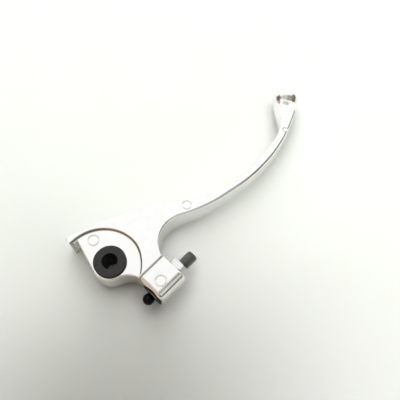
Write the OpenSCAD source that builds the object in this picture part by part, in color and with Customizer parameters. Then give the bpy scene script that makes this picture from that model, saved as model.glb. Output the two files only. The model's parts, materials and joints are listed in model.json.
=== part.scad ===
// Motorcycle brake lever: a cast aluminium lever with a bushed pivot eye and a threaded
// boss that carries an adjuster screw, its lock nut and a thin washer.
// The origin is the middle of the pivot bore, +Z runs along the pivot, and the adjuster
// lies parallel to X. The lever is the same above and below its middle plane, z = 0.

/* [Blade] */
// Distance along X from the pivot to the middle of the ball end
reach = 176.3; // [165:0.1:195]
// Distance along Y from the pivot to the middle of the ball end
ball_y = 3.8; // [2:0.1:6]
// Diameter of the ball end
ball_d = 19.5; // [16:0.1:22]
// How far the lowest point of the bow lies in front of the pivot
bow_depth = 20.2; // [18:0.1:23]
// Thickness of the blade, front to back
blade_t = 5.9; // [5:0.1:8]
// Height of the blade between its flat sides
blade_h = 13.5; // [11:0.1:17]
// Radius of the blade's long edges
blade_edge_r = 1.9; // [1:0.1:2.4]

/* [Body] */
// Height of the body beside the recess
body_h = 18.6; // [17:0.1:22]
// Radius of the body's outer edges
body_edge_r = 1.1; // [0.6:0.1:1.5]
// Depth of the recess round the eye, on each side
recess_depth = 1.75; // [1:0.05:2.5]
// Radius of the arc that bounds the recess
recess_r = 25.9; // [24:0.1:27]
// Radius of the fillet at the foot of the recess wall
recess_fillet = 1.2; // [0.4:0.1:1.5]
// How far the nub at the back of the body reaches past the pivot
nub_reach = 9.6; // [8:0.1:11]
// Radius of the throat between the boss and the blade
throat_r = 18.9; // [16:0.1:20]

/* [Pivot] */
// Outer radius of the eye
eye_r = 11.3; // [10.6:0.1:13]
// Diameter of the bore in each bush
pivot_d = 9.2; // [6:0.1:10]
// Wall of each bush inside the eye
bush_wall = 1.5; // [1:0.1:2]
// Diameter of each bush flange
flange_d = 20; // [17:0.1:21]
// Thickness of each bush flange
flange_t = 2; // [1.5:0.1:2.5]

/* [Adjuster] */
// Distance from the pivot axis to the adjuster's axis
adjuster_offset = 31.3; // [30:0.1:34]
// Outer diameter of the adjuster's thread
thread_d = 8; // [6:0.1:8.4]
// Length of the adjuster from nose tip to end
adjuster_length = 41.7; // [38:0.1:50]
// Diameter of the round nose
nose_d = 7.2; // [5:0.1:7.4]
// Radial clearance between the thread and what it runs in
thread_clearance = 0.05; // [0.03:0.01:0.09]
// Length of the boss along the adjuster
boss_length = 20.1; // [17:0.1:22]
// Height of the boss
boss_h = 17.4; // [15:0.1:18]
// How far the boss reaches past the adjuster's axis
boss_reach = 8; // [7:0.1:9]
// Radius of the boss's long outer edges
boss_edge_r = 5; // [3:0.1:6]
// Thickness of the lock nut
nut_t = 4.5; // [3:0.1:6.5]
// Width of the lock nut across its flats
nut_af = 14; // [12:0.1:15]
// Diameter of the washer at the nose end
washer_d = 15.3; // [13:0.1:16.5]
// Thickness of the washer
washer_t = 0.5; // [0.5:0.1:1.5]

/* [Hidden] */
$fn = 64;
eps = 0.01;

// Body and blade
half_body = body_h / 2;
half_tongue = half_body - recess_depth;
recess_c = [-6.8, 0.7];
boss_line = -20.7;
cut_slope = 2.6; // of the front edge where the recess takes it away
rib_w = 1.5;
boss_x0 = 4.9;
boss_x1 = boss_x0 + boss_length;
throat_in = 1.8;
throat_c = [boss_x1 - throat_in + throat_r, -25.8];
ball_r = ball_d / 2;
flare_x = reach - 24;
flare_bulge = 0.9;
blade_start = [82, -16.1];
blade_end = [flare_x, ball_y - 17.5];
back_slope = -0.368;
back_start = 30.5;
nub_r = 2.5;
corner_steps = 4;

// Tongue, eye and bushes
tongue_top = [-4.6, 27.3];
tongue_a = atan2(tongue_top.y, tongue_top.x) + acos(eye_r / norm(tongue_top));
notch_r = 12;
notch_end = [boss_x0, boss_line + rib_w + 0.2];
notch_a = atan2(notch_end.y, notch_end.x) - acos((pow(eye_r + notch_r, 2) + pow(norm(notch_end), 2)
    - notch_r * notch_r) / (2 * (eye_r + notch_r) * norm(notch_end)));
notch_c = (eye_r + notch_r) * [cos(notch_a), sin(notch_a)];
fillet_a0 = asin((boss_line + rib_w - recess_c.y) / recess_r);
fillet_a1 = 88;
barrel_r = pivot_d / 2 + bush_wall;
flange_edge = 0.3;

// Boss, adjuster, nut and washer
boss_end_r = 1.5;
run_r = thread_d / 2 + thread_clearance;
nose_x = -2.3;
neck_r = thread_d / 2 - 1.2;
thread_start = boss_x0 - washer_t - nose_x - 0.9;
thread_chamfer = 0.8;
socket_af = thread_d / 2;
socket_depth = 5;
nut_turn = 20;
nut_chamfer = 0.6;

// The bow is the arc through both ends of the blade's middle that touches y = -bow_depth
bow_rise = [blade_start.y + bow_depth, blade_end.y + bow_depth];
bow_span = blade_end.x - blade_start.x;
bow_b = 2 * bow_span / bow_rise[1];
bow_q = bow_span * bow_span / bow_rise[1] + bow_rise[1] - bow_rise[0];
bow_in = 2 * bow_q / (bow_b + sqrt(bow_b * bow_b + 4 * (1 / bow_rise[0] - 1 / bow_rise[1]) * bow_q));
bow_r = (bow_in * bow_in / bow_rise[0] + bow_rise[0]) / 2;
bow_c = [blade_start.x + bow_in, bow_r - bow_depth];

// Middle of the blade at x, and half its thickness measured along Y
function bow_y(x) = bow_c.y - sqrt(bow_r * bow_r - pow(x - bow_c.x, 2));
function bow_slope(x) = (x - bow_c.x) / (bow_c.y - bow_y(x));
function half_t(x) = blade_t / 2 * sqrt(1 + pow(bow_slope(x), 2));

// Smooth curve through key points, by a cubic between each pair
function key_slope(k, i) =
    let (a = max(i - 1, 0), b = min(i + 1, len(k) - 1))
    (k[b].y - k[a].y) / (k[b].x - k[a].x);
function cubic(p, q, s0, s1, x) =
    let (w = q.x - p.x, u = (x - p.x) / w)
    p.y * (1 + 2 * u) * pow(1 - u, 2) + s0 * w * u * pow(1 - u, 2)
    + q.y * u * u * (3 - 2 * u) + s1 * w * u * u * (u - 1);
function curve(k, x, i = 0) =
    x <= k[0].x ? k[0].y
    : i >= len(k) - 1 ? k[len(k) - 1].y
    : x <= k[i + 1].x ? cubic(k[i], k[i + 1], key_slope(k, i), key_slope(k, i + 1), x)
    : curve(k, x, i + 1);

// Back edge: straight behind the eye, a shoulder, the blade, then the flare of the ball end
function back_line(x) = back_start + back_slope * (x + 5.2);
tangent_a = asin(ball_r / norm([reach - flare_x, ball_y - bow_y(flare_x) - half_t(flare_x)]))
    + atan2(ball_y - bow_y(flare_x) - half_t(flare_x), reach - flare_x);
ball_back = [reach - ball_r * sin(tangent_a), ball_y + ball_r * cos(tangent_a)];
function blade_back(x) = [x, bow_y(x) + half_t(x)];
back_keys = [
    [22, back_line(22)], [30, back_line(30)], [38, back_line(38) - 0.3], [45.7, 10.2],
    [51.2, 6], [57.2, 0.9], [62, -3.1], [67.5, -7], [74.5, -10.6],
    for (x = [82:8:flare_x - 4]) blade_back(x),
    for (x = [flare_x + 4, flare_x + 10])
        [x, ball_back.y - (ball_back.x - x) * tan(tangent_a) + flare_bulge * (x - flare_x) / 10],
    ball_back
];

// Front edge: the boss line, the throat, the blade, then the ball
function throat_y(x) = throat_c.y + sqrt(max(throat_r * throat_r - pow(x - throat_c.x, 2), 0));
function blade_front(x) = [x, bow_y(x) - half_t(x)];
front_keys = [
    for (x = [-3, 0, 3, 8]) [throat_c.x + x, throat_y(throat_c.x + x)],
    [57.5, -12.2], [65, -15], [72, -17.2], [80, -19.1],
    for (x = [88:8:reach - 12]) blade_front(x),
    [reach + ball_r * 0.45, ball_y - ball_r * 0.893]
];

function nub_drop(x) =
    let (u = nub_r - (x + nub_reach))
    u <= 0 ? 0 : nub_r - sqrt(max(nub_r * nub_r - u * u, 0));
function ball_half(x) = sqrt(max(ball_r * ball_r - pow(x - reach, 2), 0));
function back_y(x) =
    x < 22 ? back_line(x) - nub_drop(x)
    : x < ball_back.x ? curve(back_keys, x)
    : ball_y + ball_half(x);
function front_y(x) =
    x < boss_x0 ? boss_line + (boss_x0 - x) * cut_slope
    : x < throat_c.x - 3 ? max(boss_line, throat_y(x))
    : x < reach + ball_r * 0.45 ? curve(front_keys, x)
    : ball_y - ball_half(x);

// Half height, and how far the section has turned from a rounded bar into a full round
function half_h(x) = x >= reach ? max(ball_half(x), 0.02)
    : curve([[44, half_body], [56, half_body - 0.35], [70, blade_h / 2 + 0.9],
        [90, blade_h / 2 + 0.1], [113, blade_h / 2], [flare_x, blade_h / 2 + 0.1],
        [reach - 12, ball_r - 1.5], [reach, ball_r]], x);
function roundness(x) = curve([[flare_x - 6, 0], [flare_x + 8, 0.45], [reach - 4, 1], [reach, 1]], x);
function edge_r(x) = curve([[40, body_edge_r], [90, blade_edge_r], [reach, blade_edge_r]], x);
function edge_slope(x, front) =
    let (f0 = front ? front_y(x - 0.2) : back_y(x - 0.2), f1 = front ? front_y(x + 0.2) : back_y(x + 0.2))
    min(abs(f1 - f0) / 0.4, 1.5);

// One section: four elliptical corners between the two edges, in the plane at x
function section(x) =
    let (
        y0 = front_y(x), y1 = max(back_y(x), y0 + 0.02), a = (y1 - y0) / 2, b = half_h(x),
        f = roundness(x), r = min(edge_r(x), a * 0.9), s0 = sqrt(1 + pow(edge_slope(x, true), 2)),
        s1 = sqrt(1 + pow(edge_slope(x, false), 2)),
        r0 = min(r * s0, a * 0.95) * (1 - f) + a * f, r1 = min(r * s1, a * 0.95) * (1 - f) + a * f,
        rz = r * (1 - f) + b * f
    )
    [for (q = [0:3], i = [0:corner_steps])
        let (t = 90 * (q + i / (corner_steps + (f > 0.98 ? 1 : 0))), back = q == 0 || q == 3,
            ry = back ? r1 : r0)
        [x, (back ? y1 - ry : y0 + ry) + ry * cos(t), (q < 2 ? b - rz : rz - b) + rz * sin(t)]];

stations = [
    for (u = [0, 0.12, 0.5, 1]) -nub_reach + eps + nub_r * u,
    for (x = [-4:3:boss_x1 - 5]) x,
    boss_x1 - 2.6,
    for (u = [0:0.25:0.75]) boss_x1 + 0.3 + 2 * u,
    for (u = [0:14]) boss_x1 + 2.3 + (blade_start.x - boss_x1 - 2.3) * pow(u / 14, 1.15),
    for (x = [blade_start.x + 6:7:flare_x - 6]) x,
    for (u = [0:0.2:0.8]) flare_x - 4 + u * (reach - flare_x + 4 - ball_r * 0.2),
    for (a = [-10:14:84]) reach + ball_r * sin(a),
    reach + ball_r * 0.9995
];

module cast_form() {
    rings = [for (x = stations) section(x)];
    n = len(rings[0]);
    m = len(rings);
    points = [for (ring = rings) for (p = ring) p];
    faces = concat(
        [[for (i = [0:n - 1]) i]],
        [for (k = [0:m - 2], i = [0:n - 1]) [k * n + i, (k + 1) * n + i, (k + 1) * n + (i + 1) % n]],
        [for (k = [0:m - 2], i = [0:n - 1]) [k * n + i, (k + 1) * n + (i + 1) % n, k * n + (i + 1) % n]],
        [[for (i = [n - 1:-1:0]) (m - 1) * n + i]]
    );
    polyhedron(points, faces, convexity = 6);
}

// Extrudes a drawing through the middle plane
module through(h) {
    translate([0, 0, -h / 2]) linear_extrude(h) children();
}

// Plan of the recess: an arc that stops at the rib beside the boss
module recess_plan() {
    difference() {
        translate(recess_c) circle(recess_r);
        translate([boss_x0, boss_line - recess_r]) square([recess_r, recess_r + rib_w]);
    }
}

// Plan of the recessed tongue and eye, reaching a little under the raised body
module tongue_plan() {
    difference() {
        intersection() {
            translate(recess_c) circle(recess_r + 1);
            polygon([
                tongue_top, [boss_x1 - 4, tongue_top.y], [boss_x1 - 4, boss_line - 2],
                [boss_x0, boss_line - 2], notch_end, notch_c * eye_r / (eye_r + notch_r),
                [0, 0], eye_r * [cos(tongue_a), sin(tongue_a)]
            ]);
        }
        translate(notch_c) circle(notch_r);
    }
    circle(eye_r);
}

// Concave fillet at the foot of the recess wall, on the upper side
module recess_fillet_ring() {
    translate([recess_c.x, recess_c.y, half_tongue])
        rotate([0, 0, fillet_a0])
            rotate_extrude(angle = fillet_a1 - fillet_a0)
                difference() {
                    translate([recess_r - recess_fillet, -0.5])
                        square([recess_fillet + 0.5, recess_fillet + 0.5]);
                    translate([recess_r - recess_fillet, recess_fillet]) circle(recess_fillet);
                }
}

// Rectangle from x = 0 to w, as high above as below, with round corners
module rounded_rectangle(w, h, r) {
    translate([r, -h / 2]) square([w - 2 * r, h]);
    translate([0, r - h / 2]) square([w, h - 2 * r]);
    for (x = [r, w - r], y = [r - h / 2, h / 2 - r]) translate([x, y]) circle(r);
}

// Block that the adjuster screws through, with round outer edges
module boss() {
    flat = boss_h / 2 - boss_edge_r;
    outer = -adjuster_offset - boss_reach;
    intersection() {
        translate([boss_x0, -boss_reach, 0]) rotate([90, 0, 0])
            linear_extrude(adjuster_offset + boss_reach) rounded_rectangle(boss_length, boss_h, boss_end_r);
        translate([boss_x0, 0, 0]) rotate([90, 0, 90]) linear_extrude(boss_length) {
            translate([outer + boss_edge_r, -boss_h / 2])
                square([boss_line + 0.3 - outer - boss_edge_r, boss_h]);
            translate([outer, -flat]) square([boss_edge_r + 1, 2 * flat]);
            for (side = [-1, 1])
                translate([outer + boss_edge_r, side * flat]) circle(boss_edge_r);
        }
        translate([boss_x0, outer + boss_length]) through(boss_h + 2)
            rounded_rectangle(boss_length, 2 * boss_length, boss_end_r);
    }
}

// A cylinder along X on the adjuster's axis, from x = from
module on_adjuster(from) {
    translate([from, -adjuster_offset, 0]) rotate([0, 90, 0]) children();
}

module lever() {
    color("gainsboro") difference() {
        union() {
            difference() {
                cast_form();
                through(2 * body_h) recess_plan();
            }
            through(2 * half_tongue) tongue_plan();
            for (side = [0, 1]) mirror([0, 0, side]) recess_fillet_ring();
            boss();
        }
        translate([0, 0, -body_h]) cylinder(h = 2 * body_h, r = barrel_r);
        on_adjuster(boss_x0 - 1) cylinder(h = boss_length + 2, r = run_r);
    }
}

// Flanged bush, from the middle plane up
module pivot_bush() {
    color("#26282b") difference() {
        union() {
            cylinder(h = half_tongue + eps, r = barrel_r);
            translate([0, 0, half_tongue]) cylinder(h = flange_t - flange_edge, d = flange_d);
            translate([0, 0, half_tongue + flange_t - flange_edge])
                cylinder(h = flange_edge, d1 = flange_d, d2 = flange_d - 2 * flange_edge);
        }
        translate([0, 0, -1]) cylinder(h = half_tongue + flange_t + 2, d = pivot_d);
    }
}

module upper_pivot_bush() {
    pivot_bush();
}

module lower_pivot_bush() {
    mirror([0, 0, 1]) pivot_bush();
}

module adjuster_screw() {
    color("#1b1b1d") on_adjuster(nose_x) difference() {
        union() {
            translate([0, 0, nose_d / 2]) sphere(d = nose_d);
            translate([0, 0, nose_d / 2]) cylinder(h = nose_d, r = neck_r);
            translate([0, 0, thread_start]) cylinder(h = thread_chamfer, r1 = neck_r, r2 = thread_d / 2);
            translate([0, 0, thread_start + thread_chamfer])
                cylinder(h = adjuster_length - thread_start - 2 * thread_chamfer, d = thread_d);
            translate([0, 0, adjuster_length - thread_chamfer])
                cylinder(h = thread_chamfer, r1 = thread_d / 2, r2 = thread_d / 2 - thread_chamfer);
        }
        translate([0, 0, adjuster_length - socket_depth])
            cylinder(h = socket_depth + 1, d = socket_af / cos(30), $fn = 6);
    }
}

module lock_nut() {
    color("silver") on_adjuster(boss_x1) rotate([0, 0, nut_turn]) difference() {
        intersection() {
            cylinder(h = nut_t, d = nut_af / cos(30), $fn = 6);
            union() {
                cylinder(h = nut_chamfer, d1 = nut_af - 0.4, d2 = nut_af / cos(30) + 0.1);
                translate([0, 0, nut_chamfer])
                    cylinder(h = nut_t - 2 * nut_chamfer, d = nut_af / cos(30) + 0.1);
                translate([0, 0, nut_t - nut_chamfer])
                    cylinder(h = nut_chamfer, d1 = nut_af / cos(30) + 0.1, d2 = nut_af - 0.4);
            }
        }
        translate([0, 0, -1]) cylinder(h = nut_t + 2, r = run_r);
    }
}

module washer() {
    color("#1b1b1d") on_adjuster(boss_x0 - washer_t) difference() {
        cylinder(h = washer_t, d = washer_d);
        translate([0, 0, -1]) cylinder(h = washer_t + 2, r = run_r);
    }
}

lever();
upper_pivot_bush();
lower_pivot_bush();
adjuster_screw();
lock_nut();
washer();
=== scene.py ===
import json
import math

import bmesh
import bpy
import numpy as np
from mathutils import Matrix, Vector

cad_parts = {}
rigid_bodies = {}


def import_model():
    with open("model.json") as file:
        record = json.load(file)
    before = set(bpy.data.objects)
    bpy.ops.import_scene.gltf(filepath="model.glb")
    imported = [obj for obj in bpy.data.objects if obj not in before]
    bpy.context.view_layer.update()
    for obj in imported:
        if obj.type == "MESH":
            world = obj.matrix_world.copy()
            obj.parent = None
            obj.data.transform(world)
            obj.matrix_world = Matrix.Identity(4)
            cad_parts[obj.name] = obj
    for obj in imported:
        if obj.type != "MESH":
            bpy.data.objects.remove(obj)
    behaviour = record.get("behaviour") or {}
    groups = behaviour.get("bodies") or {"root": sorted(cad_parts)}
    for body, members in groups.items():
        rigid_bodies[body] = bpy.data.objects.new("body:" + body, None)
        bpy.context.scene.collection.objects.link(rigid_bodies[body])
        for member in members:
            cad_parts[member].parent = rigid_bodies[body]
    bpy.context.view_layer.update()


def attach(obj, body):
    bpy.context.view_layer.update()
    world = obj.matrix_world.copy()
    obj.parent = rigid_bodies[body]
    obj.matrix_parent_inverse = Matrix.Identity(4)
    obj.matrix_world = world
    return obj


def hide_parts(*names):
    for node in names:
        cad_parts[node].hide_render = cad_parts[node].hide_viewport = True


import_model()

scene = bpy.context.scene
toMetres = 0.001


def note(text):
    print("brake lever:", text)


def toLinear(hexColour):
    # sRGB hex to the linear colour that Blender's sockets take
    parts = [int(hexColour[i:i + 2], 16) / 255 for i in (1, 3, 5)]
    return [c / 12.92 if c <= 0.04045 else ((c + 0.055) / 1.055) ** 2.4 for c in parts] + [1.0]


def perMm(size):
    # pattern scale for a real size in millimetres, as Object coordinates are in metres
    return 1000 / size


def addNode(tree, kind, settings=None, links=None):
    # adds a node; settings are its own values or its inputs', links are input name to socket
    made = tree.nodes.new(kind)
    for name, value in (settings or {}).items():
        if name == "stops":
            while len(made.color_ramp.elements) < len(value):
                made.color_ramp.elements.new(0.5)
            for element, (position, colour) in zip(made.color_ramp.elements, value):
                element.position, element.color = position, toLinear(colour)
        elif isinstance(name, int) or name in made.inputs.keys():
            made.inputs[name].default_value = value
        else:
            setattr(made, name, value)
    for name, socket in (links or {}).items():
        tree.links.new(socket, made.inputs[name])
    return made


def newMaterial(name):
    material = bpy.data.materials.new(name)
    material.use_nodes = True
    tree = material.node_tree
    shader = tree.nodes["Principled BSDF"]
    place = addNode(tree, "ShaderNodeTexCoord").outputs["Object"]
    return material, tree, shader, place


def deselectAll():
    for obj in bpy.context.view_layer.objects:
        obj.select_set(False)


def makeActive(obj):
    deselectAll()
    obj.select_set(True)
    bpy.context.view_layer.objects.active = obj


def editMode(obj, select="VERT"):
    makeActive(obj)
    bpy.ops.object.mode_set(mode="EDIT")
    bpy.ops.mesh.select_mode(type=select)
    bpy.ops.mesh.select_all(action="DESELECT")
    return bmesh.from_edit_mesh(obj.data)


def objectMode():
    bpy.ops.object.mode_set(mode="OBJECT")


def bevelWhere(obj, test, width, segments):
    # bevels the edges whose two ends pass the test
    bm = editMode(obj, "EDGE")
    for edge in bm.edges:
        edge.select = test(edge.verts[0].co, edge.verts[1].co)
    bm.select_flush_mode()
    bpy.ops.mesh.bevel(offset=width, segments=segments, affect="EDGES")
    objectMode()


def closeUp(obj, fill=False):
    editMode(obj)
    bpy.ops.mesh.select_all(action="SELECT")
    bpy.ops.mesh.remove_doubles(threshold=0.0005)
    if fill:
        bpy.ops.mesh.select_all(action="DESELECT")
        bpy.ops.mesh.select_non_manifold(extend=False, use_boundary=True)
        bpy.ops.mesh.edge_face_add()
    bpy.ops.mesh.select_all(action="SELECT")
    bpy.ops.mesh.normals_make_consistent(inside=False)
    objectMode()


def wrapGrid(name, rows, columns, place, fill=False):
    # a grid whose vertex (i, j) goes to place(i, j), closed where its edges meet
    deselectAll()
    bpy.ops.mesh.primitive_grid_add(x_subdivisions=rows, y_subdivisions=columns, size=2)
    obj = bpy.context.active_object
    obj.name = name
    for vertex in obj.data.vertices:
        i = round((vertex.co.x + 1) / 2 * rows)
        j = round((vertex.co.y + 1) / 2 * columns)
        vertex.co = place(i, j)
    closeUp(obj, fill)
    return obj


def drawOutline(name, points, z):
    # a filled plan outline, from a circle whose points move to their places
    deselectAll()
    bpy.ops.mesh.primitive_circle_add(vertices=len(points), fill_type="NGON")
    obj = bpy.context.active_object
    obj.name = name
    for vertex, (x, y) in zip(obj.data.vertices, points):
        vertex.co = (x, y, z)
    return obj


def extrudeOutline(obj, height):
    editMode(obj)
    bpy.ops.mesh.select_all(action="SELECT")
    bpy.ops.mesh.extrude_region_move(TRANSFORM_OT_translate={"value": (0, 0, height)})
    bpy.ops.mesh.select_all(action="SELECT")
    bpy.ops.mesh.normals_make_consistent(inside=False)
    objectMode()


def lathe(name, profile, centre, axis, steps=96):
    # a closed profile of (radius, height) spun round the axis through the centre
    deselectAll()
    bpy.ops.mesh.primitive_circle_add(vertices=len(profile), fill_type="NOTHING")
    obj = bpy.context.active_object
    obj.name = name
    along = Vector(axis)
    across = Vector((0, 1, 0)) if abs(along.x) > 0.5 else Vector((1, 0, 0))
    for vertex, (radius, height) in zip(obj.data.vertices, profile):
        vertex.co = Vector(centre) + across * radius + along * height
    editMode(obj)
    bpy.ops.mesh.select_all(action="SELECT")
    bpy.ops.mesh.spin(steps=steps, angle=2 * math.pi, center=centre, axis=axis)
    objectMode()
    closeUp(obj)
    return obj


def addCylinder(name, radius, start, length, axis="Z", sides=96):
    # a cylinder that starts at a point and runs along X or Z
    deselectAll()
    middle = Vector(start)
    middle["XYZ".index(axis)] += length / 2
    bpy.ops.mesh.primitive_cylinder_add(vertices=sides, radius=radius, depth=length)
    obj = bpy.context.active_object
    obj.name = name
    if axis == "X":
        obj.data.transform(Matrix.Rotation(math.pi / 2, 4, "Y"))
    obj.data.transform(Matrix.Translation(middle))
    return obj


def combine(obj, other, how):
    # boolean with a second form, which is then gone
    makeActive(obj)
    cut = obj.modifiers.new("combine", "BOOLEAN")
    cut.operation = how
    cut.object = other
    cut.solver = "MANIFOLD"
    bpy.ops.object.modifier_apply(modifier=cut.name)
    bpy.data.objects.remove(other)


def bevelEdges(obj, width, segments, angle=30):
    makeActive(obj)
    edge = obj.modifiers.new("edges", "BEVEL")
    edge.width = width
    edge.segments = segments
    edge.limit_method = "ANGLE"
    edge.angle_limit = math.radians(angle)
    edge.use_clamp_overlap = True
    bpy.ops.object.modifier_apply(modifier=edge.name)


def smoothShade(obj, angle=35, weighted=True):
    makeActive(obj)
    bpy.ops.object.shade_smooth_by_angle(angle=math.radians(angle))
    if weighted:
        even = obj.modifiers.new("even normals", "WEIGHTED_NORMAL")
        even.keep_sharp = True
        even.weight = 50
        bpy.ops.object.modifier_apply(modifier=even.name)


def finishPiece(obj, name, body, node, material):
    # to metres, then on to its body, in the place of its CAD node
    obj.data.transform(Matrix.Scale(toMetres, 4))
    obj.name = name
    obj.data.name = name
    obj.data.materials.clear()
    obj.data.materials.append(material)
    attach(obj, body)
    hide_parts(node)
    note(f"{name}: {len(obj.data.polygons)} faces")


view = {
    "place": (-0.02405, -0.0979, 0.25585),
    "tilt": 27.096,
    "turn": -46.396,
    "lens": 38.7,
    "floorZ": -0.00976,
    "floorSize": 6.0,
    "floorDepth": 0.2,
}

cameraData = bpy.data.cameras.new("camera")
cameraData.lens = view["lens"]
cameraData.sensor_width = 36
cameraData.clip_start = 0.01
camera = bpy.data.objects.new("camera", cameraData)
camera.location = view["place"]
camera.rotation_euler = (math.radians(view["tilt"]), 0, math.radians(view["turn"]))
scene.collection.objects.link(camera)
scene.camera = camera

deselectAll()
bpy.ops.mesh.primitive_cube_add(size=2)
floor = bpy.context.active_object
floor.name = "floor"
for vertex in floor.data.vertices:
    x, y, z = vertex.co
    vertex.co = (x * view["floorSize"] / 2, y * view["floorSize"] / 2,
                 view["floorZ"] + (0 if z > 0 else -view["floorDepth"]))

# milky white acrylic sheet: light spreads inside it, so that shadows on it stay soft
board, tree, shader, place = newMaterial("milky white acrylic sheet")
cloud = addNode(tree, "ShaderNodeTexNoise", {"Scale": perMm(240), "Detail": 2.0}, {"Vector": place})
tone = addNode(tree, "ShaderNodeValToRGB", {"stops": [(0.35, "#EAEEEA"), (0.65, "#F1F4F2")]},
               {"Fac": cloud.outputs["Fac"]}).outputs["Color"]
tree.links.new(tone, shader.inputs["Base Color"])
shader.inputs["Roughness"].default_value = 0.4
shader.inputs["IOR"].default_value = 1.45
shader.inputs["Subsurface Weight"].default_value = 1.0
shader.inputs["Subsurface Radius"].default_value = (1.0, 1.0, 0.9)
shader.inputs["Subsurface Scale"].default_value = 0.012
floor.data.materials.append(board)


def addLight(name, place, aim, size, power, colour):
    data = bpy.data.lights.new(name, "AREA")
    data.shape = "RECTANGLE"
    data.size, data.size_y = size
    data.energy = power
    data.color = toLinear(colour)[:3]
    obj = bpy.data.objects.new(name, data)
    obj.location = place
    obj.rotation_euler = (Vector(aim) - Vector(place)).to_track_quat("-Z", "Y").to_euler()
    obj.visible_glossy = False
    scene.collection.objects.link(obj)


# soft lamps light the board, and a flag hung beside them shades its near corner
lamps = {
    "top lamp": {"place": (0.1, 0.05, 1.0), "size": (1.2, 1.2), "power": 12.1},
    "far lamp": {"place": (0.9, 0.75, 0.7), "size": (0.9, 0.9), "power": 8.9},
    "near lamp": {"place": (0.6, -0.7, 0.7), "size": (0.9, 0.9), "power": 2.9},
}
flag = {"place": (-0.05, -0.064, 0.125), "size": (0.17, 0.13), "colour": "#8A7A68"}
for name, look in lamps.items():
    addLight(name, look["place"], (0.05, 0, 0), look["size"], look["power"], "#FFFEFA")

deselectAll()
bpy.ops.mesh.primitive_plane_add(size=1, location=flag["place"])
card = bpy.context.active_object
card.name = "flag"
card.scale = (*flag["size"], 1)
card.visible_camera = False
card.visible_glossy = False
felt, tree, shader, place = newMaterial("wool felt")
shader.inputs["Base Color"].default_value = toLinear(flag["colour"])
shader.inputs["Roughness"].default_value = 0.9
card.data.materials.append(felt)

# what the metal mirrors is a room, painted by direction: a wide window behind the lever, a paler
# patch of wall and a warm one in front of it, and a bright table top along the horizon
room = {
    "windowWay": (0.724, 0.69, 0), "windowLow": 0.5, "windowHigh": 0.2, "window": "#FFFFFF",
    "windowRise": (0.5, 0.68), "windowSoft": 0.04,
    "walls": [(0.0, "#F4F4EE"), (0.05, "#F4F4EE"), (0.1, "#5E5652"), (0.45, "#6A625D"), (0.8, "#938681"),
              (0.965, "#9D938E"), (0.985, "#C4C9C1")],
    "creamWay": (-0.8, 0.3, 0), "cream": "#D8CDBA", "creamHigh": (0.6, 0.85), "creamLeft": (0.05, 0.35),
    "paleWay": (0.0, -0.722, 0.692), "pale": "#D3D8D1", "paleFrom": 0.925, "paleSoft": 0.05,
    "warmWay": (-0.92, 0.0, 0.39), "warm": "#CDB49C", "warmFrom": 0.86, "warmSoft": 0.04,
    "darkWay": (-0.868, 0.068, 0.49), "dark": "#3A2C28", "darkFrom": 0.99, "darkSoft": 0.006,
    "strength": 1.08,
}
world = bpy.data.worlds.new("room")
scene.world = world
world.use_nodes = True
world.cycles_visibility.diffuse = False
tree = world.node_tree
background = tree.nodes["Background"]
direction = addNode(tree, "ShaderNodeTexCoord").outputs["Generated"]
height = addNode(tree, "ShaderNodeSeparateXYZ", links={"Vector": direction}).outputs["Z"]
facing = {way: addNode(tree, "ShaderNodeVectorMath", {"operation": "DOT_PRODUCT", 1: room[way]},
                       {0: direction}).outputs["Value"]
          for way in ("windowWay", "creamWay", "paleWay", "warmWay", "darkWay")}
paint = addNode(tree, "ShaderNodeValToRGB", {"stops": room["walls"]}, {"Fac": height}).outputs["Color"]
high, left = [addNode(tree, "ShaderNodeMapRange", {"From Min": room[name][0], "From Max": room[name][1]},
                      {"Value": value}).outputs["Result"]
              for name, value in (("creamHigh", height), ("creamLeft", facing["creamWay"]))]
creamy = addNode(tree, "ShaderNodeMath", {"operation": "MULTIPLY"}, {0: high, 1: left})
paint = addNode(tree, "ShaderNodeMix", {"data_type": "RGBA", 7: toLinear(room["cream"])},
                {0: creamy.outputs[0], 6: paint}).outputs[2]
for part in ("pale", "warm", "dark"):
    start = room[part + "From"]
    mask = addNode(tree, "ShaderNodeMapRange", {"From Min": start, "From Max": start + room[part + "Soft"]},
                   {"Value": facing[part + "Way"]})
    paint = addNode(tree, "ShaderNodeMix", {"data_type": "RGBA", 7: toLinear(room[part])},
                    {0: mask.outputs["Result"], 6: paint}).outputs[2]
edge = addNode(tree, "ShaderNodeMapRange",
               {"From Min": room["windowRise"][0], "From Max": room["windowRise"][1],
                "To Min": room["windowLow"], "To Max": room["windowHigh"]}, {"Value": height})
past = addNode(tree, "ShaderNodeMath", {"operation": "SUBTRACT"},
               {0: facing["windowWay"], 1: edge.outputs["Result"]})
mask = addNode(tree, "ShaderNodeMapRange",
               {"From Min": -room["windowSoft"], "From Max": room["windowSoft"]},
               {"Value": past.outputs[0]})
paint = addNode(tree, "ShaderNodeMix", {"data_type": "RGBA", 7: toLinear(room["window"])},
                {0: mask.outputs["Result"], 6: paint}).outputs[2]
# seen straight, the room is a plain pale backdrop
seen = addNode(tree, "ShaderNodeLightPath").outputs["Is Camera Ray"]
plain = addNode(tree, "ShaderNodeMix", {"data_type": "RGBA", 7: toLinear("#EEEFEA")},
                {0: seen, 6: paint})
tree.links.new(plain.outputs[2], background.inputs["Color"])
background.inputs["Strength"].default_value = room["strength"]
scene.view_settings.view_transform = "Standard"
note("camera, floor and light are set")


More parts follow.
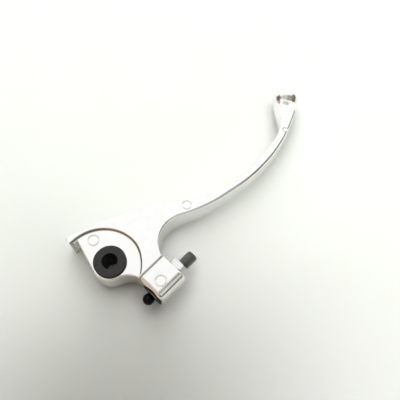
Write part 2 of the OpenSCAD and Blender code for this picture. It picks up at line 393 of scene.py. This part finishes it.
def polishedAluminium():
    # die-cast aluminium, buffed: a bright mirror that wavers, with faint buffing lines
    material, tree, shader, place = newMaterial("polished cast aluminium")
    look = {"waveMm": 9, "streakMm": 0.5, "streakStretch": 0.06, "cloudMm": 6}
    cloud = addNode(tree, "ShaderNodeTexNoise", {"Scale": perMm(look["cloudMm"]), "Detail": 4.0,
                                                 "Roughness": 0.6}, {"Vector": place})
    tone = addNode(tree, "ShaderNodeValToRGB", {"stops": [(0.3, "#F3F3F1"), (0.7, "#FBFBFA")]},
                   {"Fac": cloud.outputs["Fac"]}).outputs["Color"]
    # painted shade: the foot of the recess wall and the crease beside the boss get a darker colour, and a
    # rougher finish as the wheel doesn't reach them
    middle = (lever["recessC"][0] * toMetres, lever["recessC"][1] * toMetres, 0)
    flat = addNode(tree, "ShaderNodeVectorMath", {"operation": "MULTIPLY", 1: (1, 1, 0)}, {0: place})
    far = addNode(tree, "ShaderNodeVectorMath", {"operation": "DISTANCE", 1: middle}, {0: flat.outputs[0]})
    axes = addNode(tree, "ShaderNodeSeparateXYZ", links={"Vector": place})
    up = addNode(tree, "ShaderNodeMath", {"operation": "ABSOLUTE"}, {0: axes.outputs["Z"]})

    def band(value, low, high, soft):
        # 1 between low and high, in millimetres, fading out over soft
        edges = ((low - soft, low, 0, 1), (high, high + soft, 1, 0))
        sides = [addNode(tree, "ShaderNodeMapRange",
                         {"From Min": a * toMetres, "From Max": b * toMetres, "To Min": c, "To Max": d},
                         {"Value": value}).outputs["Result"] for a, b, c, d in edges]
        both = addNode(tree, "ShaderNodeMath", {"operation": "MULTIPLY"}, {0: sides[0], 1: sides[1]})
        return both.outputs[0]

    inside = addNode(tree, "ShaderNodeMath", {"operation": "MULTIPLY"},
                     {0: band(far.outputs["Value"], 0, lever["recessR"] + 0.02, 0.35),
                      1: band(axes.outputs["Y"], lever["bossLine"] + 0.5, lever["reach"], 0.2)})
    foot = addNode(tree, "ShaderNodeMath", {"operation": "MULTIPLY"},
                   {0: inside.outputs[0],
                    1: band(up.outputs[0], lever["tongueHalf"] + 0.13, lever["bodyHalf"] - 0.4, 0.1)})
    crease = addNode(tree, "ShaderNodeMath", {"operation": "MULTIPLY"},
                     {0: band(axes.outputs["Y"], lever["bossLine"] - 0.25, lever["bossLine"] + 0.2, 0.2),
                      1: band(up.outputs[0], lever["bossHalf"] - 0.1, lever["bossHalf"] + 0.4, 0.1)})
    unbuffedAndPaintedShade = addNode(tree, "ShaderNodeMath", {"operation": "MAXIMUM"},
                   {0: foot.outputs[0], 1: crease.outputs[0]})
    # the darker colour here is painted shade in the recess foot and the crease beside the boss
    skinAndPaintedShade = addNode(tree, "ShaderNodeMix", {"data_type": "RGBA", 7: toLinear("#B5AEA8")},
                   {0: unbuffedAndPaintedShade.outputs[0], 6: tone})
    tree.links.new(skinAndPaintedShade.outputs[2], shader.inputs["Base Color"])
    lie = addNode(tree, "ShaderNodeMapping", {"Scale": (look["streakStretch"], 1, 1)}, {"Vector": place})
    streak = addNode(tree, "ShaderNodeTexNoise", {"Scale": perMm(look["streakMm"]), "Detail": 3.0,
                                                  "Roughness": 0.65}, {"Vector": lie.outputs["Vector"]})
    mixed = addNode(tree, "ShaderNodeMath", {"operation": "MULTIPLY"},
                    {0: streak.outputs["Fac"], 1: cloud.outputs["Fac"]})
    rough = addNode(tree, "ShaderNodeMapRange", {"From Min": 0.1, "From Max": 0.45,
                                                 "To Min": 0.12, "To Max": 0.26},
                    {"Value": mixed.outputs[0]})
    matt = addNode(tree, "ShaderNodeMix", {"data_type": "FLOAT", 3: 0.5},
                   {0: unbuffedAndPaintedShade.outputs[0], 2: rough.outputs["Result"]})
    tree.links.new(matt.outputs[0], shader.inputs["Roughness"])
    wave = addNode(tree, "ShaderNodeTexNoise", {"Scale": perMm(look["waveMm"]), "Detail": 1.0},
                   {"Vector": place})
    soft = addNode(tree, "ShaderNodeBump", {"Strength": 0.35, "Distance": 0.00035},
                   {"Height": wave.outputs["Fac"]})
    fine = addNode(tree, "ShaderNodeBump", {"Strength": 0.12, "Distance": 0.00002},
                   {"Height": streak.outputs["Fac"], "Normal": soft.outputs["Normal"]})
    tree.links.new(fine.outputs["Normal"], shader.inputs["Normal"])
    shader.inputs["Metallic"].default_value = 1.0
    return material


def blackPolymer():
    # glass-filled nylon, moulded: matt dark grey with a fine grain that scatters light
    material, tree, shader, place = newMaterial("moulded black nylon")
    look = {"grainMm": 0.25, "patchMm": 5}
    patch = addNode(tree, "ShaderNodeTexNoise", {"Scale": perMm(look["patchMm"]), "Detail": 3.0},
                    {"Vector": place})
    tone = addNode(tree, "ShaderNodeValToRGB", {"stops": [(0.3, "#1F1F20"), (0.7, "#2A2A2B")]},
                   {"Fac": patch.outputs["Fac"]}).outputs["Color"]
    tree.links.new(tone, shader.inputs["Base Color"])
    grain = addNode(tree, "ShaderNodeTexNoise", {"Scale": perMm(look["grainMm"]), "Detail": 2.0},
                    {"Vector": place})
    bump = addNode(tree, "ShaderNodeBump", {"Strength": 0.4, "Distance": 0.00003},
                   {"Height": grain.outputs["Fac"]})
    tree.links.new(bump.outputs["Normal"], shader.inputs["Normal"])
    rough = addNode(tree, "ShaderNodeMapRange", {"To Min": 0.5, "To Max": 0.68},
                    {"Value": patch.outputs["Fac"]})
    tree.links.new(rough.outputs["Result"], shader.inputs["Roughness"])
    shader.inputs["IOR"].default_value = 1.5
    return material


def blackOxideSteel():
    # hardened steel, black oxide and oiled: a dark mirror, with the thread's crests painted pale, as wear
    # where they rub and as a painted highlight along the thread
    material, tree, shader, place = newMaterial("black oxide steel")
    look = {"mottleMm": 1.6, "axisY": -0.0313, "crestLow": 0.00375, "crestHigh": 0.0039}
    mottle = addNode(tree, "ShaderNodeTexNoise", {"Scale": perMm(look["mottleMm"]), "Detail": 4.0},
                     {"Vector": place})
    tone = addNode(tree, "ShaderNodeValToRGB", {"stops": [(0.3, "#161617"), (0.75, "#2A2A2A")]},
                   {"Fac": mottle.outputs["Fac"]}).outputs["Color"]
    turned = addNode(tree, "ShaderNodeMapping", {"Location": (0, -look["axisY"], 0), "Scale": (0, 1, 1)},
                     {"Vector": place})
    radius = addNode(tree, "ShaderNodeVectorMath", {"operation": "LENGTH"},
                     {0: turned.outputs["Vector"]})
    crest = addNode(tree, "ShaderNodeMapRange",
                    {"From Min": look["crestLow"], "From Max": look["crestHigh"]},
                    {"Value": radius.outputs["Value"]})
    # the pale crest colour is wear and also a painted highlight along the thread
    wornAndPaintedHighlight = addNode(tree, "ShaderNodeMix", {"data_type": "RGBA", 7: toLinear("#E2E1DE")},
                   {0: crest.outputs["Result"], 6: tone})
    tree.links.new(wornAndPaintedHighlight.outputs[2], shader.inputs["Base Color"])
    rough = addNode(tree, "ShaderNodeMapRange", {"To Min": 0.2, "To Max": 0.38},
                    {"Value": mottle.outputs["Fac"]})
    tree.links.new(rough.outputs["Result"], shader.inputs["Roughness"])
    bump = addNode(tree, "ShaderNodeBump", {"Strength": 0.2, "Distance": 0.00002},
                   {"Height": mottle.outputs["Fac"]})
    tree.links.new(bump.outputs["Normal"], shader.inputs["Normal"])
    shader.inputs["Metallic"].default_value = 1.0
    return material


def zincPlate():
    # turned steel, bright zinc plated: cool grey with fine turning lines on the faces
    material, tree, shader, place = newMaterial("bright zinc plated steel")
    look = {"lineMm": 0.22, "spotMm": 1.4}
    lie = addNode(tree, "ShaderNodeMapping", {"Scale": (0.1, 1, 1)}, {"Vector": place})
    line = addNode(tree, "ShaderNodeTexNoise", {"Scale": perMm(look["lineMm"]), "Detail": 2.0},
                   {"Vector": lie.outputs["Vector"]})
    spot = addNode(tree, "ShaderNodeTexNoise", {"Scale": perMm(look["spotMm"]), "Detail": 3.0},
                   {"Vector": place})
    tone = addNode(tree, "ShaderNodeValToRGB", {"stops": [(0.3, "#DCDDDD"), (0.7, "#F2F2F1")]},
                   {"Fac": spot.outputs["Fac"]}).outputs["Color"]
    tree.links.new(tone, shader.inputs["Base Color"])
    rough = addNode(tree, "ShaderNodeMapRange", {"To Min": 0.12, "To Max": 0.28},
                    {"Value": spot.outputs["Fac"]})
    tree.links.new(rough.outputs["Result"], shader.inputs["Roughness"])
    bump = addNode(tree, "ShaderNodeBump", {"Strength": 0.15, "Distance": 0.00002},
                   {"Height": line.outputs["Fac"]})
    tree.links.new(bump.outputs["Normal"], shader.inputs["Normal"])
    shader.inputs["Metallic"].default_value = 1.0
    return material


def blackRubber():
    # cut rubber sheet: dull black with a slight grain
    material, tree, shader, place = newMaterial("cut black rubber")
    grain = addNode(tree, "ShaderNodeTexNoise", {"Scale": perMm(0.4), "Detail": 3.0}, {"Vector": place})
    tone = addNode(tree, "ShaderNodeValToRGB", {"stops": [(0.3, "#121212"), (0.75, "#1F1F1F")]},
                   {"Fac": grain.outputs["Fac"]}).outputs["Color"]
    tree.links.new(tone, shader.inputs["Base Color"])
    bump = addNode(tree, "ShaderNodeBump", {"Strength": 0.3, "Distance": 0.00003},
                   {"Height": grain.outputs["Fac"]})
    tree.links.new(bump.outputs["Normal"], shader.inputs["Normal"])
    shader.inputs["Roughness"].default_value = 0.6
    shader.inputs["IOR"].default_value = 1.52
    return material


lever = {
    "reach": 176.3, "ballY": 3.8, "ballR": 9.75,
    "bowR": 120.81, "bowC": (113.207, 100.612), "bladeHalfT": 2.95,
    "bladeHalf": 6.75, "bladeEdge": 1.9, "flare": 24, "flareSwell": 0.09, "ballTouch": (0.45, -0.893),
    "bodyHalf": 9.3, "bodyEdge": 1.1, "backStart": 30.5, "backSlope": -0.368,
    "backKeys": [(45.7, 10.2), (51.2, 6), (57.2, 0.9), (62, -3.1), (67.5, -7), (74.5, -10.6)],
    "frontKeys": [(57.5, -12.2), (65, -15), (72, -17.2), (80, -19.1)],
    "nubReach": 9.6, "nubR": 2.5, "cutSlope": 2.6,
    "throatC": (42.1, -25.8), "throatR": 18.9,
    "recessC": (-6.8, 0.7), "recessR": 25.9, "recessDraw": 1.3, "recessFillet": 1.2, "recessTop": 0.5,
    "neckFrom": 10.2, "neckSoft": 0.5, "neckWide": 2.3,
    "tongueHalf": 7.55, "tongueEdge": 0.7, "tongueTop": (-4.6, 27.3),
    "eyeR": 11.3, "notchR": 12.0, "boreR": 6.1,
    "bossX": (4.9, 25.0), "bossY": (-39.3, -20.4), "bossHalf": 8.7,
    "bossEdge": 5.2, "bossEnds": (2.6, 1.1),
    "bossLine": -20.7, "rib": 1.5,
    "adjusterY": -31.3, "adjusterBore": 4.05,
}
aluminium = polishedAluminium()
reach, ballR, ballY = lever["reach"], lever["ballR"], lever["ballY"]
flareX = reach - lever["flare"]


def bowY(x):
    return lever["bowC"][1] - math.sqrt(lever["bowR"] ** 2 - (x - lever["bowC"][0]) ** 2)


def halfT(x):
    slope = (x - lever["bowC"][0]) / (lever["bowC"][1] - bowY(x))
    return lever["bladeHalfT"] * math.sqrt(1 + slope ** 2)


def smoothCurve(keys):
    # a curve through the keys whose slope and bend run on smoothly
    xs = np.array([k[0] for k in keys], float)
    ys = np.array([k[1] for k in keys], float)
    gaps = np.diff(xs)
    count = len(xs)
    system = np.zeros((count, count))
    right = np.zeros(count)
    system[0, 0] = system[-1, -1] = 1
    for i in range(1, count - 1):
        system[i, i - 1:i + 2] = gaps[i - 1], 2 * (gaps[i - 1] + gaps[i]), gaps[i]
        right[i] = 6 * ((ys[i + 1] - ys[i]) / gaps[i] - (ys[i] - ys[i - 1]) / gaps[i - 1])
    bend = np.linalg.solve(system, right)

    def at(x):
        x = min(max(x, xs[0]), xs[-1])
        i = min(int(np.searchsorted(xs, x, side="right")) - 1, count - 2)
        a, b, h = (xs[i + 1] - x), (x - xs[i]), gaps[i]
        return float(bend[i] * a ** 3 / (6 * h) + bend[i + 1] * b ** 3 / (6 * h)
                     + (ys[i] / h - bend[i] * h / 6) * a + (ys[i + 1] / h - bend[i + 1] * h / 6) * b)
    return at


def backLine(x):
    return lever["backStart"] + lever["backSlope"] * (x + 5.2)


def bladeBack(x):
    return bowY(x) + halfT(x)


flankRise = ballY - bladeBack(flareX)
flankRun = reach - flareX
tangentA = math.asin(ballR / math.hypot(flankRun, flankRise)) + math.atan2(flankRise, flankRun)
ballBack = (reach - ballR * math.sin(tangentA), ballY + ballR * math.cos(tangentA))
flankKeys = [(x, ballBack[1] - (ballBack[0] - x) * math.tan(tangentA) + lever["flareSwell"] * (x - flareX))
             for x in (flareX + 4, flareX + 10)]
backKeys = ([(x, backLine(x)) for x in (10, 16, 22, 30)] + [(38, backLine(38) - 0.3)] + lever["backKeys"]
            + [(x, bladeBack(x)) for x in np.arange(82, flareX - 4, 8)]
            + flankKeys + [ballBack, (ballBack[0] + 1, ballBack[1] + math.tan(tangentA))])
backCurve = smoothCurve(backKeys)


def throatY(x):
    inside = lever["throatR"] ** 2 - (x - lever["throatC"][0]) ** 2
    return lever["throatC"][1] + math.sqrt(max(inside, 0))


def bladeFront(x):
    return bowY(x) - halfT(x)


touchX, touchY = lever["ballTouch"]
ballFront = (reach + ballR * touchX, ballY + ballR * touchY)
throatX = lever["throatC"][0]
frontKeys = ([(throatX + dx, throatY(throatX + dx)) for dx in (-9, -6, -3, 0, 3, 8)] + lever["frontKeys"]
             + [(x, bladeFront(x)) for x in np.arange(88, reach - 12, 8)]
             + [ballFront, (ballFront[0] + 1, ballFront[1] - touchX / touchY)])
frontCurve = smoothCurve(frontKeys)


def ballHalf(x):
    return math.sqrt(max(ballR ** 2 - (x - reach) ** 2, 0))


def backY(x):
    if x < 22:
        into = lever["nubR"] - (x + lever["nubReach"])
        drop = 0 if into <= 0 else lever["nubR"] - math.sqrt(max(lever["nubR"] ** 2 - into ** 2, 0))
        return backLine(x) - drop
    return backCurve(x) if x < ballBack[0] else ballY + ballHalf(x)


def frontY(x):
    if x < lever["bossX"][0]:
        return lever["bossLine"] + (lever["bossX"][0] - x) * lever["cutSlope"]
    if x < throatX - 9:
        return max(lever["bossLine"], throatY(x))
    return frontCurve(x) if x < ballFront[0] else ballY - ballHalf(x)


bladeTop = lever["bladeHalf"] + 0.1
heightCurve = smoothCurve([
    (30, lever["bodyHalf"]), (37, lever["bodyHalf"]), (44, lever["bodyHalf"]),
    (56, lever["bodyHalf"] - 0.35), (70, lever["bladeHalf"] + 0.9), (90, lever["bladeHalf"] + 0.1),
    (113, lever["bladeHalf"]), (flareX, bladeTop), (reach - 7, bladeTop), (reach + 1, bladeTop)])
runOut = reach - 7.3


def halfHeight(x):
    # the blade's half height, which runs out beside the ball
    over = max(x - runOut, 0) / (ballFront[0] - runOut)
    return min(heightCurve(x), lever["bodyHalf"]) * math.sqrt(max(1 - over ** 2, 0))


def smoothStep(x, low, high):
    t = min(max((x - low) / (high - low), 0), 1)
    return t * t * (3 - 2 * t)


def edgeR(x):
    return lever["bodyEdge"] + (lever["bladeEdge"] - lever["bodyEdge"]) * smoothStep(x, 38, 92)


# a cone lifts the blade's top to the ball, which it meets without a crease
neckFrom, neckSoft = lever["neckFrom"], lever["neckSoft"]
meetA = math.atan2(bladeTop, neckFrom) + math.acos(ballR / math.hypot(bladeTop, neckFrom))


def raised(x, y, bar):
    # the blade's top with the neck on it, or the ball where that is higher
    away = math.hypot(x - reach, y - ballY)
    ball = math.sqrt(max(ballR ** 2 - away ** 2, 0))
    into = neckFrom - away
    rise = (into + math.sqrt(into ** 2 + neckSoft ** 2)) / 2 / math.tan(meetA)
    lift = ball if away < ballR * math.cos(meetA) else bladeTop + rise
    return max(ball, bar * lift / bladeTop) if x > flareX - 8 else bar


cornerSteps = 15


def section(x):
    y0 = frontY(x)
    y1 = max(backY(x), y0 + 0.02)
    half, top = (y1 - y0) / 2, halfHeight(x)
    r = min(edgeR(x), (y1 - y0) * 0.45, max(top, 0.01))
    wide = []
    for edge in (frontY, backY):
        slope = min(abs(edge(x + 0.2) - edge(x - 0.2)) / 0.4, 1.5)
        wide.append(min(r * math.sqrt(1 + slope ** 2), half * 0.95))
    tall = [r, r]
    # towards the ball the back edge opens into a flank, and the front edge turns into the ball's side
    opens, turns = smoothStep(x, flareX - 4, flareX + 8), smoothStep(x, reach - 8, ballFront[0])
    if opens > 0:
        flank = max(y1 - bladeBack(x) - lever["neckWide"] * opens, wide[1])
        wide[1] += (flank - wide[1]) * opens
        tall[1] += (top - tall[1]) * opens
        wide[0] += (half - wide[0]) * turns
        tall[0] += (top - tall[0]) * turns
        wide[1] = min(wide[1], y1 - y0 - wide[0])
    spread = smoothStep(x, flareX - 8, flareX + 6)
    ring = []
    for quarter in range(4):
        k = 1 if quarter in (0, 3) else 0
        for i in range(cornerSteps + 1):
            t = math.radians(90 * (quarter + i / cornerSteps))
            even = math.pi * (quarter % 2 * (cornerSteps + 1) + i) / (2 * cornerSteps + 1)
            y = (y1 - wide[1] if k else y0 + wide[0]) + wide[k] * math.cos(t)
            y += (y0 + half + half * math.cos(even if quarter < 2 else even + math.pi) - y) * spread
            over = [(y0 + wide[0] - y) / wide[0], (y - y1 + wide[1]) / wide[1]]
            drop = max(tall[e] * (1 - math.sqrt(max(1 - max(over[e], 0) ** 2, 0))) for e in (0, 1))
            ring.append((x, y, raised(x, y, top - drop) * (1 if quarter < 2 else -1)))
    return ring


nubSteps = [-lever["nubReach"] + 0.01 + lever["nubR"] * (1 - math.cos(math.radians(a)))
            for a in range(0, 91, 9)]
stations = (nubSteps + list(np.arange(-6, 24.9, 1.0))
            + list(np.arange(25, flareX - 8, 0.8)) + list(np.arange(flareX - 8, reach - 1, 0.6))
            + [reach + ballR * math.sin(math.radians(a)) for a in np.arange(-4, 89.5, 3)])
rings = [section(x) for x in stations]
ringSize = len(rings[0])

form = wrapGrid("lever form", len(rings) - 1, ringSize, lambda i, j: rings[i][j % ringSize], fill=True)
note(f"lofted form: {len(form.data.polygons)} faces")

# recess round the eye, with a round top edge and a fillet at its foot
recessAngles = 240
centre = Vector(lever["recessC"])
ribY = lever["bossLine"] + lever["rib"]


def recessPoint(angle):
    # towards the rib the edge draws in a little
    turned = math.degrees(angle) - (360 if angle > math.pi else 0)
    radius = lever["recessR"] - lever["recessDraw"] * smoothStep(-turned, 0, 50)
    x = centre.x + radius * math.cos(angle)
    y = centre.y + radius * math.sin(angle)
    return Vector((x, max(y, ribY)))


def recessProfile():
    fillet, top = lever["recessFillet"], lever["recessTop"]
    low, high = lever["tongueHalf"] - 0.02, lever["bodyHalf"]
    upper = []
    for i in range(9):
        t = math.radians(90 * i / 8)
        upper.append((-fillet + fillet * math.sin(t), low + fillet - fillet * math.cos(t)))
    for i in range(7):
        t = math.radians(90 * i / 6)
        upper.append((top - top * math.cos(t), high - top + top * math.sin(t)))
    upper.append((top + 2, high + 1.5))
    upper.append((top + 2, high + 4))
    return [(d, -z) for d, z in reversed(upper)] + upper


profile = recessProfile()


def recessPlace(i, j):
    angle = 2 * math.pi * (j % recessAngles) / recessAngles
    if i == 0 or i == len(profile) + 1:
        return (centre.x, centre.y, math.copysign(lever["bodyHalf"] + 4, i - 1))
    out, z = profile[i - 1]
    onBody = math.degrees(angle) < 90 or math.degrees(angle) > 305
    if out < 0 and not onBody:
        out = 0
    edge = recessPoint(angle)
    away = edge - centre
    spot = centre + away * (1 + out / away.length)
    return (spot.x, spot.y, z)


recess = wrapGrid("recess", len(profile) + 1, recessAngles, recessPlace)
combine(form, recess, "DIFFERENCE")
note("recess is cut")


def tongueOutline():
    top = Vector(lever["tongueTop"])
    eyeR, notchR = lever["eyeR"], lever["notchR"]
    leftA = math.atan2(top.y, top.x) + math.acos(eyeR / top.length)
    end = Vector((lever["bossX"][0], ribY + 0.2))
    reachN = eyeR + notchR
    notchA = math.atan2(end.y, end.x) - math.acos(
        (reachN ** 2 + end.length ** 2 - notchR ** 2) / (2 * reachN * end.length))
    notchC = Vector((math.cos(notchA), math.sin(notchA))) * reachN
    points = []
    hidden = lever["recessR"] + 1.5
    # under the body, clockwise from the nub to the rib
    for i in range(25):
        a = math.radians(85 - (85 + 47) * i / 24)
        points.append((centre.x + hidden * math.cos(a), max(centre.y + hidden * math.sin(a), ribY - 1)))
    points.append((end.x, ribY - 1))
    # the notch, from the rib back to the eye
    a0 = math.atan2(end.y - notchC.y, end.x - notchC.x)
    a1 = notchA + math.pi
    while a1 < a0 - 2 * math.pi:
        a1 += 2 * math.pi
    while a1 - a0 > math.pi:
        a1 -= 2 * math.pi
    while a0 - a1 > math.pi:
        a1 += 2 * math.pi
    for i in range(33):
        a = a0 + (a1 - a0) * i / 32
        points.append((notchC.x + notchR * math.cos(a), notchC.y + notchR * math.sin(a)))
    # the eye, round to where the straight left edge leaves it
    start, stop = notchA, leftA - 2 * math.pi
    for i in range(1, 73):
        a = start + (stop - start) * i / 72
        points.append((eyeR * math.cos(a), eyeR * math.sin(a)))
    points.append((top.x, top.y))
    return points


tongue = drawOutline("tongue", tongueOutline(), -lever["tongueHalf"])
extrudeOutline(tongue, 2 * lever["tongueHalf"])
bevelWhere(tongue, lambda p, q: abs(p.z - q.z) < 0.01, lever["tongueEdge"], 6)
combine(form, tongue, "UNION")
note("tongue is joined")

# boss: a block with round long edges, then round ends
deselectAll()
bpy.ops.mesh.primitive_cube_add(size=2)
boss = bpy.context.active_object
low = Vector((lever["bossX"][0], lever["bossY"][0], -lever["bossHalf"]))
high = Vector((lever["bossX"][1], lever["bossY"][1], lever["bossHalf"]))
for vertex in boss.data.vertices:
    vertex.co = Vector([low[k] if vertex.co[k] < 0 else high[k] for k in range(3)])
bevelWhere(boss, lambda p, q: max(abs(p.y - low.y), abs(q.y - low.y)) < 0.01 and abs(p.x - q.x) > 1,
           lever["bossEdge"], 20)
for end, width in zip((low.x, high.x), lever["bossEnds"]):
    bevelWhere(boss, lambda p, q: max(abs(p.x - end), abs(q.x - end)) < 0.01, width, 8)
combine(form, boss, "UNION")
note("boss is joined")

bore = addCylinder("pivot hole", lever["boreR"], (0, 0, -20), 40)
combine(form, bore, "DIFFERENCE")
hole = addCylinder("adjuster hole", lever["adjusterBore"], (0, lever["adjusterY"], 0), 30, "X")
combine(form, hole, "DIFFERENCE")

# plain round marks that the casting's ejector pins leave: shallow grooves, and one pad on the edge
marks = {"rings": [(2.1, 18.1, 7.55, 3.4), (59.1, -7.1, None, 3.0), (12.9, -30.9, 8.7, 3.3),
                   (150.5, -15.2, None, 1.75)],
         "groove": 0.5, "pad": (150.5, -15.2, 1.8), "padEdge": 0.25}
padX, padY, padR = marks["pad"]
pad = addCylinder("pad", padR, (padX, padY, 0), halfHeight(padX) - 0.02, sides=48)
bevelEdges(pad, marks["padEdge"], 3)
combine(form, pad, "UNION")
for x, y, z, radius in marks["rings"]:
    z = z or halfHeight(x)
    lean = 0 if z < halfHeight(x) - 0.01 else math.atan((halfHeight(x + 1) - halfHeight(x - 1)) / 2)
    deselectAll()
    bpy.ops.mesh.primitive_torus_add(major_radius=radius, minor_radius=marks["groove"],
                                     major_segments=64, minor_segments=12)
    groove = bpy.context.active_object
    groove.data.transform(Matrix.Rotation(-lean, 4, "Y"))
    groove.data.transform(Matrix.Translation((x, y, z)))
    combine(form, groove, "DIFFERENCE")

smoothShade(form)
finishPiece(form, "castLever", "lever", "lever", aluminium)


bush = {"barrelR": 6.1, "flangeR": 10.0, "half": 7.55, "top": 9.55, "boreR": 4.6, "edge": 0.35,
        "under": 1.0, "lead": (0.4, 1.0), "seam": 0.06}
nylon = blackPolymer()


def bushProfile(side):
    b = bush
    # the flange's lower edge is bevelled, its upper edge is round, and the bore has a lead
    outer = [(b["boreR"], b["seam"]), (b["barrelR"], b["seam"]), (b["barrelR"], b["half"]),
             (b["flangeR"] - b["under"], b["half"]), (b["flangeR"], b["half"] + b["under"])]
    for i in range(6):
        t = math.radians(90 * i / 5)
        outer.append((b["flangeR"] - b["edge"] + b["edge"] * math.cos(t),
                      b["top"] - b["edge"] + b["edge"] * math.sin(t)))
    wide, deep = b["lead"]
    outer.append((b["boreR"] + wide, b["top"]))
    outer.append((b["boreR"], b["top"] - deep))
    return [(r, z * side) for r, z in outer]


for side, node in ((1, "upper_pivot_bush"), (-1, "lower_pivot_bush")):
    ring = lathe(node, bushProfile(side), (0, 0, 0), (0, 0, 1), steps=128)
    smoothShade(ring)
    finishPiece(ring, "upperBush" if side > 0 else "lowerBush", "lever", node, nylon)


screw = {"noseX": -2.3, "noseR": 3.6, "neckR": 2.8, "length": 41.7, "threadR": 4.0, "pitch": 1.25,
         "depth": 0.77, "rootWide": 0.1, "flankWide": 0.78, "start": 5.8,
         "socketAf": 4.0, "socketDepth": 5.0, "chamfer": 0.8}
steel = blackOxideSteel()


def threadRadius(along, angle):
    # radius of the thread at a distance from the screw's nose tip
    s = screw
    phase = (along / s["pitch"] - angle / (2 * math.pi)) % 1
    crest = abs(phase - 0.5) * 2
    ridge = min(max((crest - s["rootWide"]) / s["flankWide"], 0), 1)
    full = s["threadR"] - s["depth"] * (1 - ridge)
    runIn = min((along - s["start"]) / s["chamfer"], 1)
    runOut = min((s["length"] - along) / s["chamfer"], 1)
    limit = s["neckR"] + (s["threadR"] - s["neckR"]) * runIn
    limit = min(limit, s["threadR"] - s["chamfer"] * (1 - runOut))
    return min(full, limit)


screwSides, noseRows = 64, 24
neckAngle = math.pi - math.asin(screw["neckR"] / screw["noseR"])
alongRows = list(np.arange(screw["start"], screw["length"] + 0.01, screw["pitch"] / 10))
alongRows[-1] = screw["length"]


def screwPlace(i, j):
    angle = 2 * math.pi * (j % screwSides) / screwSides
    if i <= noseRows:
        t = neckAngle * i / noseRows
        along, radius = screw["noseR"] - screw["noseR"] * math.cos(t), screw["noseR"] * math.sin(t)
    elif i <= noseRows + 1:
        along, radius = screw["start"], screw["neckR"]
    elif i <= noseRows + 1 + len(alongRows):
        along = alongRows[i - noseRows - 2]
        radius = threadRadius(along, angle)
    else:
        along, radius = screw["length"], 0
    return (screw["noseX"] + along, lever["adjusterY"] + radius * math.cos(angle),
            radius * math.sin(angle))


adjuster = wrapGrid("adjuster", noseRows + 2 + len(alongRows), screwSides, screwPlace)
socket = addCylinder("socket", screw["socketAf"] / 2 / math.cos(math.pi / 6),
                     (screw["noseX"] + screw["length"] - screw["socketDepth"], lever["adjusterY"], 0),
                     screw["socketDepth"] + 1, "X", sides=6)
combine(adjuster, socket, "DIFFERENCE")
smoothShade(adjuster, 40, weighted=False)
finishPiece(adjuster, "adjusterScrew", "adjuster", "adjuster_screw", steel)


nut = {"x": 25.0, "thick": 4.5, "af": 14.0, "turn": -10, "edge": 0.25, "chamfer": 0.6, "faceIn": 0.2,
       "boreR": 4.05, "lead": (1.4, 0.4)}
zinc = zincPlate()
corner = nut["af"] / 2 / math.cos(math.pi / 6)
nutBody = addCylinder("nut", corner, (nut["x"], lever["adjusterY"], 0), nut["thick"], "X", sides=6)
nutBody.data.transform(Matrix.Translation((0, -lever["adjusterY"], 0)))
nutBody.data.transform(Matrix.Rotation(math.radians(nut["turn"]), 4, "X"))
nutBody.data.transform(Matrix.Translation((0, lever["adjusterY"], 0)))
bevelEdges(nutBody, nut["edge"], 3)
flatR = nut["af"] / 2 - nut["faceIn"]
cone = lathe("cone", [(0.5, 0), (flatR, 0), (corner + 0.05, nut["chamfer"]),
                      (corner + 0.05, nut["thick"] - nut["chamfer"]), (flatR, nut["thick"]),
                      (0.5, nut["thick"])], (nut["x"], lever["adjusterY"], 0), (1, 0, 0))
plug = addCylinder("plug", 2, (nut["x"] - 0.001, lever["adjusterY"], 0), nut["thick"] + 0.002, "X")
combine(cone, plug, "UNION")
combine(nutBody, cone, "INTERSECT")
wide, deep = nut["lead"]
nutBore = lathe("nut bore", [(0.5, -1), (nut["boreR"] + wide, -1), (nut["boreR"], deep),
                             (nut["boreR"], nut["thick"] - deep), (nut["boreR"] + wide, nut["thick"] + 1),
                             (0.5, nut["thick"] + 1)], (nut["x"], lever["adjusterY"], 0), (1, 0, 0))
core = addCylinder("core", 2, (nut["x"] - 2, lever["adjusterY"], 0), nut["thick"] + 4, "X")
combine(nutBore, core, "UNION")
combine(nutBody, nutBore, "DIFFERENCE")
smoothShade(nutBody, 30)
finishPiece(nutBody, "lockNut", "lever", "lock_nut", zinc)

seal = {"x": 4.4, "thick": 0.5, "r": 7.65, "boreR": 4.05, "edge": 0.12}
washer = lathe("washer", [(seal["boreR"], 0), (seal["r"] - seal["edge"], 0), (seal["r"], seal["edge"]),
                          (seal["r"], seal["thick"] - seal["edge"]),
                          (seal["r"] - seal["edge"], seal["thick"]), (seal["boreR"], seal["thick"])],
               (seal["x"], lever["adjusterY"], 0), (1, 0, 0))
smoothShade(washer, 30)
finishPiece(washer, "thinWasher", "lever", "washer", blackRubber())

note("all pieces are made")
